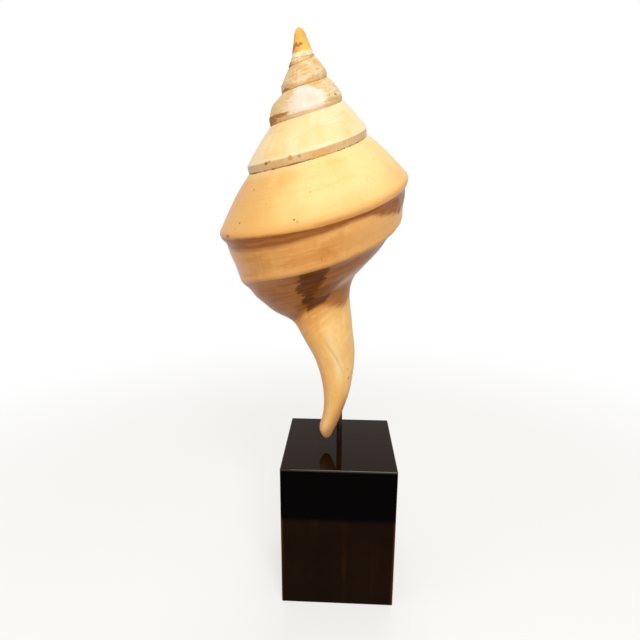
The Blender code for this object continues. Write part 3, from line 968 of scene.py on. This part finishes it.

# %% [markdown]
# ### Whorl by whorl
#
# The tones are laid from the lip up to the apex, each over the one before. The
# last whorl is pale gold, warmer toward its lip and its keel, with a painted
# highlight as a pale stripe down its shoulder, and the whorl above it is cream.

# %% Shell finish: young whorls
gold = layered(
    (240, 201, 126),
    (growth_bands.between(0.30, 0.70), (248, 218, 152)),
    (clouds.between(0.45, 0.72) * 0.6, (238, 184, 106)),
    (turn.between(-0.27, -0.05) * 0.8, (232, 164, 84)),
    # painted highlight: a pale stripe down the shoulder where the lamp's light falls brightest
    (turn.near(-0.385, 0.08) * 0.7, (252, 228, 164)),
    (chips.between(0.52, 0.68) * 0.3, (240, 178, 94)),
    (across.between(0.62, 0.97) * 0.35, (236, 176, 98)),
    (across.near(1.02, 0.13) * 0.6, (226, 160, 86)),
    ((1 - across.between(0.03, 0.16)) * 0.4, (252, 230, 174)))
cream = layered(
    (244, 216, 154),
    (growth_bands.between(0.35, 0.70), (250, 228, 180)),
    (clouds.between(0.50, 0.66) * 0.6, (246, 210, 136)),
    ((1 - clouds.between(0.36, 0.48)) * 0.6, (251, 230, 196)),
    (chips.between(0.54, 0.68) * 0.35, (242, 196, 116)),
    (across.near(0.97, 0.09) * 0.6, (250, 236, 208)))
faint_pink = mottle.between(0.5, 0.8) * clouds.between(0.35, 0.6)
tone = layered(gold, (old.between(0.86, 1.02), cream), (faint_pink * 0.35, (240, 190, 140)))
print("young whorls laid:", len(tree.nodes), "nodes")

# %% [markdown]
# ### The worn spire
#
# Handling has worn the small whorls down. Between two chipped stretches lies
# bare nacre, pink and white, and the rest is sandy with golden-brown spots. The
# chips are noise drawn out along the coil, so they leave ragged ledges that run
# the way the shell grew. The blunt apex is a different, orange shell, chalky
# where it joins the first whorl.

# %% Shell finish: worn spire
nacre = layered(
    (238, 216, 200),
    (growth_bands.between(0.3, 0.7), (250, 238, 230)),
    (mottle.between(0.55, 0.8) * 0.4, (228, 196, 176)))
sand = layered(
    (228, 204, 152),
    (chips.between(0.35, 0.62), (214, 176, 112)),
    (mottle.between(0.45, 0.62) * 0.6, (244, 230, 202)),
    (old.near(2.12, 0.10) * 0.4, (224, 186, 112)))
ragged = (chips - 0.5) * 0.16 + (mottle - 0.5) * 0.06
chipped_from = (old + ragged).between(2.375, 2.395)
chipped_to = 1 - (old + ragged).between(2.195, 2.215)
top_corner = (old + ragged - across * 0.20).between(2.27, 2.29)
top_corner = top_corner * (1 - across.between(0.35, 0.5))
worn = any_of([chipped_from, chipped_to, top_corner]) * old.between(1.98, 2.0)
spots = (mottle * 0.8 + chips * 0.5).between(0.70, 0.80) * worn
dark_chips = (strokes + mottle * 0.3).between(0.78, 0.84) * worn

# the wall under the keel: greyish on the middle whorls, stained where it is worn
on_wall = across.between(1.0, 1.045) * old.between(0.985, 1.0) * (1 - old.between(1.99, 2.02))
wall_tone = layered(
    (217, 184, 139),
    (growth_lines.between(0.35, 0.65), (226, 195, 151)),
    (clouds.between(0.5, 0.8) * 0.6, (216, 166, 104)),
    (old.near(1.02, 0.10) * 0.5, (190, 146, 106)))
worn_wall = (across + (mottle - 0.5) * 0.1).between(1.10, 1.17) * old.between(1.99, 2.02)

nub = 1 - across.between(-0.06, -0.005)
rise = -1 * across
orange = layered(
    (252, 200, 100),
    (mottle.between(0.35, 0.70), (236, 176, 88)),
    (grain.between(0.5, 0.7) * 0.25, (206, 138, 60)))
chalk = (1 - (rise + (mottle - 0.5) * 0.25).between(0.14, 0.24))
chalk = chalk * (0.35 + 0.65 * (mottle + grain).between(0.85, 1.05))
tone = layered(
    tone,
    (old.between(1.96, 2.04) * across.between(-0.02, 0.04), nacre),
    (worn * 0.9, sand),
    (spots * 0.65, (230, 182, 92)),
    (dark_chips * 0.55, (180, 132, 70)),
    (on_wall, wall_tone),
    (worn_wall * 0.75, (216, 178, 122)),
    (nub, layered(orange, (chalk, (250, 240, 218)))))
print("worn spire laid:", len(tree.nodes), "nodes")

# %% [markdown]
# ### Below the keel
#
# The underside of the last whorl is deeper in colour, partly its own pigment and
# partly painted shade, as it faces down and away from the lamps. Right under the
# keel lies a brown groove with frayed borders and paler flecks, its brown deepened
# by painted shade where the keel overhangs it. Then comes the orange-tan band,
# lighter toward the right with painted light, and a painted highlight along the
# upper side of the second ridge. Under that ridge the shell is brown, with one pale
# bow on it, a pinker tone at the left and a painted pinkish reflection of the pale
# room at the right. The canal is lighter again, with a painted highlight as a cream
# streak down its front, one darker fold and a duller tip. The second ridge lies
# lower near the lip, so its colour edge follows the same rise as its shape.

# %% Shell finish: base and canal
last_part = 1 - old.between(0.93, 1.0)
ridge_place = 0.430 + 0.062 * turn.between(LIP_FROM, LIP_TO)
# band: orange-tan pigment, darkened in part as painted shade because it faces down
band = layered(
    (212, 146, 80),
    (growth_bands.between(0.30, 0.70), (230, 174, 104)),
    (mottle.between(0.45, 0.70) * 0.55, (238, 188, 116)),
    (clouds.between(0.52, 0.72) * 0.6, (204, 132, 62)),
    (chips.between(0.50, 0.64) * 0.4, (200, 126, 56)),
    # painted light: the band is lighter toward the right, the side the lamps light more
    ((1 - turn.between(-0.40, -0.28)) * 0.7, (240, 192, 126)),
    (turn.between(-0.17, -0.07) * 0.75, (240, 182, 140)),
    (spiral_lines.between(0.5, 0.75) * 0.25, (196, 124, 60)))
below_edge = (across + (mottle - 0.5) * 0.03).between(1.0, 1.05) * last_part
uneven = (mottle - 0.5) * 0.05 + (chips - 0.5) * 0.09
groove_from = 1.10 - 0.10 * turn.between(-0.30, -0.20) + uneven
groove_to = 0.100 + 0.045 * turn.between(-0.33, -0.24) + 0.16 * turn.near(-0.46, 0.12) + uneven
# the groove's dark brown is partly pigment and partly painted shade under the keel's overhang
groove = (across - groove_from).between(0.0, 0.06) * last_part
groove = groove * (1 - (depth - groove_to).between(-0.035, 0.030))
flecks = (chips * 0.6 + strokes * 0.6).between(0.62, 0.72) * groove
# painted highlight along the upper side of the second ridge
painted_ridge_highlight = (depth - ridge_place).near(-0.045, 0.035) * last_part
# a pinker tone at the left; at the right a painted pinkish reflection of the pale room at a
# grazing view
pink_and_painted_reflection = any_of([(1 - turn.between(-0.52, -0.42)) * 0.7, turn.between(-0.16, -0.08) * 0.6])
below_ridge = (depth - ridge_place).between(-0.008, 0.014) * last_part
pale_bow = (depth + (strokes - 0.5) * 0.08).near(0.80, 0.14) * turn.near(-0.39, 0.08)
# under: brown pigment with painted shade of the downward-facing base mixed in
under = layered(
    (156, 97, 46),
    (strokes.between(0.3, 0.7), (182, 122, 66)),
    (clouds.between(0.45, 0.70) * 0.5, (192, 134, 78)),
    (pink_and_painted_reflection, (198, 142, 96)),
    (pale_bow * 0.9, (228, 182, 144)))
frayed_depth = depth + (strokes - 0.5) * 0.10 + (chips - 0.5) * 0.10
canal_tone = layered(
    (254, 202, 122),
    (growth_bands.between(0.3, 0.7), (255, 220, 154)),
    ((1 - depth.between(1.0, 1.50)) * 0.85, (226, 152, 76)),
    (mottle.between(0.45, 0.75) * 0.35, (246, 186, 100)),
    (clouds.between(0.48, 0.66) * 0.40, (238, 178, 98)),
    (chips.between(0.50, 0.64) * 0.45, (255, 224, 156)),
    (turn.between(-0.33, -0.16) * 0.6, (236, 166, 112)))
canal_from = 1.06 + 0.27 * (old.between(0.34, 0.52) - old.between(0.62, 0.85))
canal_from = canal_from - 0.09 * old.near(0.31, 0.08)
on_canal = (frayed_depth - canal_from).between(-0.05, 0.05) * last_part
# painted highlight: a cream streak down the canal's front where the light glances off it
canal_highlight_middle = -0.405 - (depth - 1.9) * 0.03
painted_canal_highlight = (turn - canal_highlight_middle + (mottle - 0.5) * 0.04).near(0.0, 0.05) * depth.near(1.85, 0.55)
fold_line = past_fold(turn, depth).near(0.0, 0.014) * depth.near(1.75, 0.5)
tone = layered(
    tone,
    (below_edge, band),
    # groove: brown pigment deepened by painted shade
    (groove * (0.75 + 0.25 * clouds), (144, 78, 30)),
    (flecks * 0.5, (204, 140, 64)),
    (painted_ridge_highlight * 0.5, (238, 182, 114)),
    (below_ridge, under),
    (on_canal, canal_tone),
    (depth.between(2.35, 2.85) * last_part * 0.8, (198, 138, 98)),
    (painted_canal_highlight * 0.85, (254, 234, 184)),
    (fold_line * 0.35, (206, 140, 78)))
print("base and canal laid:", len(tree.nodes), "nodes")

# %% [markdown]
# ### Marks
#
# Stains, drips and pinholes make the piece one particular shell. The few large
# ones are ovals at their own places, with frayed rims. A dark patch across the
# brown under the second ridge is a painted reflection of the black block below it.
# The many small marks are the centres of cells in the shell's own grid, of which
# only some are kept, and they are longer across the whorl than along it, as pores
# between growth lines. Last, parts of the seams between the whorls are darkened.

# %% Shell finish: marks
def mark(turn_at, across_at, half_turn, half_across, below_keel_too=False):
    """A soft oval mask around a place, its edge frayed by mottle and grain.

    The sum of both squared distances, each over its half size, is 0 at the
    centre and 1 on the rim.
    """
    down = depth if below_keel_too else across
    x = (turn - turn_at) / half_turn
    y = (down - across_at) / half_across
    rim = x * x + y * y + (mottle - 0.5) * 1.1 + (grain - 0.5) * 0.9
    return 1 - rim.between(0.35, 1.0)


# ovals: turn, across or depth, and half the size each way
STAINS = ((-2.13, 1.02, 0.07, 0.10), (-2.08, 1.16, 0.07, 0.14), (-2.17, 1.06, 0.05, 0.09),
          (-2.44, 0.93, 0.01, 0.07), (-4.29, -0.43, 0.05, 0.07), (-4.24, -0.38, 0.05, 0.06),
          (-4.19, -0.43, 0.05, 0.10), (-4.14, -0.36, 0.055, 0.10), (-4.08, -0.26, 0.07, 0.12),
          (-4.08, 1.00, 0.09, 0.14), (-4.48, -0.02, 0.03, 0.05), (-3.14, 1.20, 0.05, 0.08),
          (-0.125, 1.00, 0.008, 0.02), (-0.437, 1.44, 0.012, 0.05), (-0.452, 1.55, 0.008, 0.04))
SPOTS = ((-3.42, 0.35, 0.035, 0.20), (-3.30, 0.62, 0.030, 0.12), (-3.20, 0.10, 0.060, 0.07),
         (-3.33, 1.16, 0.060, 0.10), (-2.36, 0.10, 0.060, 0.08), (-1.31, 1.18, 0.030, 0.14))
DRIPS = ((-1.172, 1.05, 0.007, 0.070), (-1.182, 1.01, 0.005, 0.05),
         (-1.237, 1.06, 0.0055, 0.10), (-1.258, 1.08, 0.0050, 0.075))
PITS = ((-0.153, 0.294, 0.0018, 0.016), (-0.279, 0.537, 0.0014, 0.011),
        (-0.149, 0.808, 0.0018, 0.022), (-0.253, 0.888, 0.0020, 0.018),
        (-0.258, 0.93, 0.0012, 0.012), (-0.142, 0.90, 0.0012, 0.012),
        (-1.172, 1.06, 0.0045, 0.045), (-2.400, 0.90, 0.0040, 0.025),
        (-0.499, 2.30, 0.009, 0.022, True), (-0.480, 2.12, 0.005, 0.012, True))
stains, spots_at, drips, pits = (any_of([mark(*oval) for oval in ovals])
                                 for ovals in (STAINS, SPOTS, DRIPS, PITS))

# painted reflection of the black block: one dark patch under the ridge, drawn to
# one side at its foot, and a less dark part of it beside it
frayed_turn = turn + (strokes - 0.5) * 0.045 + (chips - 0.5) * 0.050
reflection_at = -0.263 - 0.014 * depth.between(0.60, 0.80) - 0.052 * depth.between(0.80, 0.94)
reflection_half = 0.026 - 0.013 * depth.near(0.76, 0.18) + 0.010 * depth.between(0.88, 0.98)
aside = (frayed_turn - reflection_at) / reflection_half
painted_block_reflection = (1 - (aside * aside).between(0.75, 1.30)) * (1 - frayed_depth.between(1.0, 1.05))
beside = (frayed_turn + 0.316) / 0.040
painted_reflection_fringe = (1 - (beside * beside).between(0.5, 1.4)) * depth.near(0.82, 0.16).between(0.0, 0.4)
painted_block_reflection = painted_block_reflection * (0.60 + 0.40 * strokes.between(0.35, 0.60))

cell_grid = in_grid(72.0, 4.4, 0.0)
cells, dice = (Wire.add(tree, "TexVoronoi", {"Vector": cell_grid, "Scale": 1.0}, kind)
               for kind in ("Distance", "Color"))
kept = Wire.add(tree, "SeparateColor", {0: dice}, 0).between(0.46, 0.50)
pores = (1 - cells.between(0.03, 0.075)) * kept * (1 - within) * (1 - old.between(1.6, 1.9))

seam_wear = drawn_out(60.0, 0.0, 9.0).between(0.45, 0.62)
for part in (0.11, 0.245):
    seam_wear = any_of([seam_wear, old.near(part, 0.045), old.near(part + 1, 0.045)])
seam_wear = 0.20 + 0.80 * seam_wear
wander = (mottle - 0.5) * 0.02
seam_top = 1 - (across.math("ABSOLUTE", across) + wander).between(0.005, 0.020)
seam_top = seam_top * (1 - 0.8 * old.near(1.36, 0.24))
seam_foot = (across + wander).between(1.265, 1.285) * old.between(0.97, 1.0)
seam_foot = seam_foot * (1 - 0.8 * old.near(2.36, 0.24))
seam = any_of([seam_top, seam_foot]) * seam_wear * old.between(0.05, 0.08)
tone = layered(
    tone,
    (spots_at * 0.65, (222, 168, 88)),
    (stains * 0.75, (160, 100, 46)),
    (drips * 0.85, (204, 146, 62)),
    # painted reflection of the black block: its fainter part, then its dark middle
    (painted_reflection_fringe * below_ridge * 0.7, (120, 72, 30)),
    (painted_block_reflection * below_ridge, (94, 48, 12)),
    (pores * 0.7, (164, 104, 42)),
    (pits * 0.85, (110, 70, 28)),
    (seam * 0.9, (98, 58, 24)))
print("marks laid:", len(tree.nodes), "nodes")

# %% [markdown]
# ### Inside, polish and relief
#
# The inside of the mouth is smooth porcelain, peach at the lip and deeper inside.
# The outside is polished by hand: its gloss varies a little with the mottle, and
# is lower on the worn parts, in the seams and on the stains. A low specular level
# keeps the browns deep under a white room. The finest relief goes into a Bump
# node, whose height is a sum of the lines of growth, the coil's own lines, the
# chips and the pores.

# %% Shell finish: inside and surface
RELIEF, RELIEF_DEPTH = 0.6, 0.0006
SHELL_SPECULAR, SHELL_IOR = 0.18, 1.5

porcelain = layered(
    (250, 214, 164),
    (old.between(0.0, 0.45), (234, 164, 104)),
    (growth_bands.between(0.4, 0.7) * 0.25, (252, 224, 184)))

outside = 1 - within
young = (1 - old.between(0.15, 0.34)) * across.near(0.45, 0.55)
tone = layered(
    tone,
    (within.between(0.25, 0.85), porcelain),
    (grain.between(0.45, 0.80) * 0.10, (206, 146, 84)),
    (spiral_lines.between(0.50, 0.64) * young * outside * 0.45, (232, 168, 88)),
    (growth_lines.between(0.56, 0.70) * outside * 0.09, (214, 156, 92)))

roughness = 0.33 + 0.12 * (mottle - 0.5) + 0.25 * any_of([seam, pits, stains])
roughness = roughness + 0.10 * worn - 0.08 * within
height = (0.07 * spiral_lines + 0.10 * growth_lines + 0.05 * grain + 0.10 * mottle
          + 0.5 * chips * worn) * outside - 0.7 * (pits + pores * 0.6)
polished = Wire.add(tree, "BsdfPrincipled",
                    {"Base Color": tone, "Roughness": roughness,
                     "Specular IOR Level": SHELL_SPECULAR, "IOR": SHELL_IOR,
                     "Normal": bump(tree, height, RELIEF, RELIEF_DEPTH)})
lay_on(shell, shell_finish, polished)

# %% [markdown]
# ## Rod
#
# The shell hangs on a slim steel rod, blackened to a dark bronze. It stands in a
# bore in the block and ends close behind the canal, out of sight from the front.
# A stretched cylinder would have hard rims, so the rod is a profile turned round
# the axis, with a small bevel below and a domed top.

# %% Rod
ROD_SEGMENTS, ROD_RINGS, DOME_RINGS = 48, 40, 7
ROD_BEVEL, ROD_DOME = 0.0004, 0.0012
ABOVE_BEVEL, BELOW_DOME = 0.001, 0.002   # where the straight part starts and ends
BRUSHED = (900.0, 900.0, 14.0)           # noise drawn out along the rod

rod_low, rod_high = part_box("mounting_rod")
rod_radius = (rod_high.x - rod_low.x) / 2


def rod_profile():
    """Pairs (radius, height) from the foot's middle up to the top of the dome.

    The dome is a quarter circle of radius d: (r - d (1 - cos a), h - d (1 - sin a)).
    """
    body = np.linspace(rod_low.z + ABOVE_BEVEL, rod_high.z - BELOW_DOME, ROD_RINGS)
    dome = np.linspace(0, np.pi / 2, DOME_RINGS)
    return np.concatenate([
        [(0.0, rod_low.z), (rod_radius - ROD_BEVEL, rod_low.z),
         (rod_radius, rod_low.z + ROD_BEVEL)],
        np.column_stack([np.full(ROD_RINGS, rod_radius), body]),
        np.column_stack([rod_radius - ROD_DOME * (1 - np.cos(dome)),
                         rod_high.z - ROD_DOME * (1 - np.sin(dome))]),
        [(0.0, rod_high.z)]])


profile = rod_profile()
a = np.linspace(0, 2 * np.pi, ROD_SEGMENTS, endpoint=False)
rod_rings = np.stack([profile[:, :1] * np.cos(a), profile[:, :1] * np.sin(a),
                      profile[:, 1:] + 0 * a], -1)
rod = looped("blackened_rod", rod_rings, "around", profile[:, 1])
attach(rod, "root")
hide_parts("mounting_rod")

rod_finish, tree = new_finish("dark_bronze")
here = Wire.add(tree, "TexCoord", output="Object")
stretched = Wire.add(tree, "Mapping", {"Vector": here, "Scale": BRUSHED})
drawn = noise(tree, stretched, 1.0, 3.0)
patina = noise(tree, here, 60.0, 3.0)
metal = layered(
    (52, 34, 26),
    (patina.between(0.35, 0.7), (74, 50, 36)),
    (drawn.between(0.5, 0.7) * 0.4, (34, 24, 20)))
bronze = Wire.add(tree, "BsdfPrincipled",
                  {"Base Color": metal, "Metallic": 0.75, "Roughness": 0.28 + 0.14 * drawn,
                   "Normal": bump(tree, drawn, 0.25, 0.0002)})
lay_on(rod, rod_finish, bronze)

# %% [markdown]
# ## Block
#
# The stand is a tall block in high-gloss lacquer, with softly eased edges and a
# bore for the rod. A cube with a Bevel modifier would do for the outside, but not
# for a clean rim round the bore. So the block is one skin: a rounded square that
# grows from the bore's circle, runs over the eased edge, down the sides and in
# under the foot. Extra rings beside each bend keep the flat faces flat.

# %% Block
SIDE_CUTS, CORNER_CUTS = 12, 8
EASE = 0.0014             # radius of the eased edges
RIM = 0.0009              # radius of the rim round the bore
BORE_DEPTH, BORE_CLEARANCE = 0.024, 0.0003
BESIDE_RIM, BESIDE_EDGE = 0.0003, 0.0008     # how far off a bend its extra ring lies
POINTED = 0.00002         # the smallest radius a corner of a ring can have
TOP_RINGS, SIDE_RINGS, RIM_RINGS, EDGE_RINGS = 7, 14, 5, 8

block_low, block_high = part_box("base_block")
half_width = (block_high.x - block_low.x) / 2
bore_radius = rod_radius + BORE_CLEARANCE


def rounded_square(half, corner):
    """Points round a square of half width `half`, with corners of radius `corner`.

    Each quarter is a side from one corner's end to the next corner's start, and
    then that corner's arc, and every quarter is the one before turned by 90
    degrees.
    """
    straight = np.linspace(-1, 1, SIDE_CUTS + 1)[:-1] * (half - corner)
    side = np.stack([np.full(SIDE_CUTS, half), straight], -1)
    a = np.linspace(0, np.pi / 2, CORNER_CUTS + 1)[:-1]
    arc = (half - corner) + corner * np.stack([np.cos(a), np.sin(a)], -1)
    quarters = [np.concatenate([side, arc])]
    for _ in range(3):
        quarters.append(np.stack([-quarters[-1][:, 1], quarters[-1][:, 0]], -1))
    return np.concatenate(quarters)


def block_rings():
    """Rings from the bore's floor, over the top and sides, to the foot's middle."""
    outer = rounded_square(half_width, EASE)
    direction = outer / np.linalg.norm(outer, axis=1, keepdims=True)
    top, foot = block_high.z, block_low.z
    bore_floor = top - BORE_DEPTH
    rings = []

    def ring(outline, z):
        rings.append(np.column_stack([outline, np.full(len(outline), z)]))

    def circle(radius, z):
        ring(direction * radius, z)

    def square(inset, z):
        ring(rounded_square(half_width - inset, max(EASE - inset, POINTED)), z)

    for radius in (0.0, 0.9 * bore_radius, bore_radius):
        circle(radius, bore_floor)
    circle(bore_radius, bore_floor + BESIDE_RIM)
    circle(bore_radius, top - RIM - BESIDE_RIM)
    for a in np.linspace(0, np.pi / 2, RIM_RINGS):
        circle(bore_radius + RIM * (1 - np.cos(a)), top - RIM * (1 - np.sin(a)))
    inner = direction * (bore_radius + RIM + BESIDE_RIM)
    edge = rounded_square(half_width - EASE - BESIDE_EDGE, POINTED)
    for k in np.linspace(0, 1, TOP_RINGS + 2):
        ring(inner * (1 - k) + edge * k, top)
    for a in np.linspace(0, np.pi / 2, EDGE_RINGS):
        square(EASE * (1 - np.sin(a)), top - EASE * (1 - np.cos(a)))
    for z in np.linspace(top - EASE - BESIDE_EDGE, foot + EASE + BESIDE_EDGE, SIDE_RINGS):
        square(0.0, z)
    for a in np.linspace(0, np.pi / 2, EDGE_RINGS):
        square(EASE * (1 - np.cos(a)), foot + EASE * (1 - np.sin(a)))
    square(EASE + BESIDE_EDGE, foot)
    square(half_width * 0.5, foot)
    circle(0.0, foot)
    return np.stack(rings)


rings = block_rings()
block = looped("lacquered_block", rings, "wrap", np.linspace(0, 1, len(rings)))
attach(block, "root")
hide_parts("base_block")

# %% [markdown]
# ### Lacquer
#
# The lacquer is nearly black. On the lower part of the sides a painted reflection
# of a warm brown floor shows in upright streaks, with painted orange glints along
# the upright edges, and the top face is painted dark brown for the room it
# reflects. The gloss is high, but a low specular level keeps the black deep under a
# white room. A clear coat lies on the top face, and more of it on the eased edge,
# so that a thin line of light runs round the top. A hint of orange peel keeps the
# reflections from being perfect.

# %% Lacquer
BROWN_TO, BLACK_FROM = 0.104, 0.112      # heights between which the brown ends
REFLECTION_STREAK_STRETCH = (120.0, 120.0, 4.0)
GLINT_FROM, GLINT_TO = 0.0035, 0.0010    # distances from the upright edges
TOP_FROM, TOP_TO = 0.0030, 0.0014        # depths below the top face
EDGE_FROM, EDGE_TO = 0.0006, 0.0002
TOP_COAT, EDGE_COAT = 0.135, 0.7         # weight of the clear coat there
LACQUER_SPECULAR = 0.02

block_finish, tree = new_finish("black_lacquer")
here = Wire.add(tree, "TexCoord", output="Object")
x, y, z = (Wire.add(tree, "SeparateXYZ", {0: here}, k) for k in range(3))
streaked = Wire.add(tree, "Mapping", {"Vector": here, "Scale": REFLECTION_STREAK_STRETCH})
streaks = noise(tree, streaked, 1.0, 4.0, 0.6)
cloudy = noise(tree, here, 16.0, 2.0)
peel = noise(tree, here, 260.0, 1.0)
# painted reflection of a warm brown floor on the lower part of the sides, in upright streaks
painted_floor_reflection = 1 - z.between(BROWN_TO, BLACK_FROM)
off_middle = x.math("ABSOLUTE", x) + y.math("ABSOLUTE", y)
# painted orange glints along the upright edges
painted_edge_glint = off_middle.between(2 * half_width - GLINT_FROM,
                                  2 * half_width - GLINT_TO)
top_face = z.between(block_high.z - TOP_FROM, block_high.z - TOP_TO)
eased_edge = top_face * (1 - z.between(block_high.z - EDGE_FROM, block_high.z - EDGE_TO))
painted_reflection_streaks = streaks.between(0.50, 0.72) * cloudy.between(0.40, 0.65)
lacquer = layered(
    (2, 1, 1),
    (painted_floor_reflection * (0.30 + 0.70 * cloudy), (33, 18, 7)),
    (painted_floor_reflection * painted_reflection_streaks, (42, 23, 8)),
    (painted_edge_glint * painted_floor_reflection * streaks.between(0.35, 0.60), (74, 41, 17)),
    # painted reflection: the top face is painted dark brown for the room it reflects
    (top_face, (31, 16, 3)))
gloss = Wire.add(tree, "BsdfPrincipled",
                 {"Base Color": lacquer, "Roughness": 0.05 + 0.04 * cloudy,
                  "Specular IOR Level": LACQUER_SPECULAR,
                  "Normal": bump(tree, peel, 0.06, 0.0003),
                  "Coat Weight": TOP_COAT * top_face + EDGE_COAT * eased_edge,
                  "Coat Roughness": 0.04})
lay_on(block, block_finish, gloss)

# %% [markdown]
# ## View
#
# The colours are shown through the plain Standard view transform.
# The dressed object has to fill the same box as its solids.

# %% Finish
bpy.context.scene.view_settings.view_transform = "Standard"
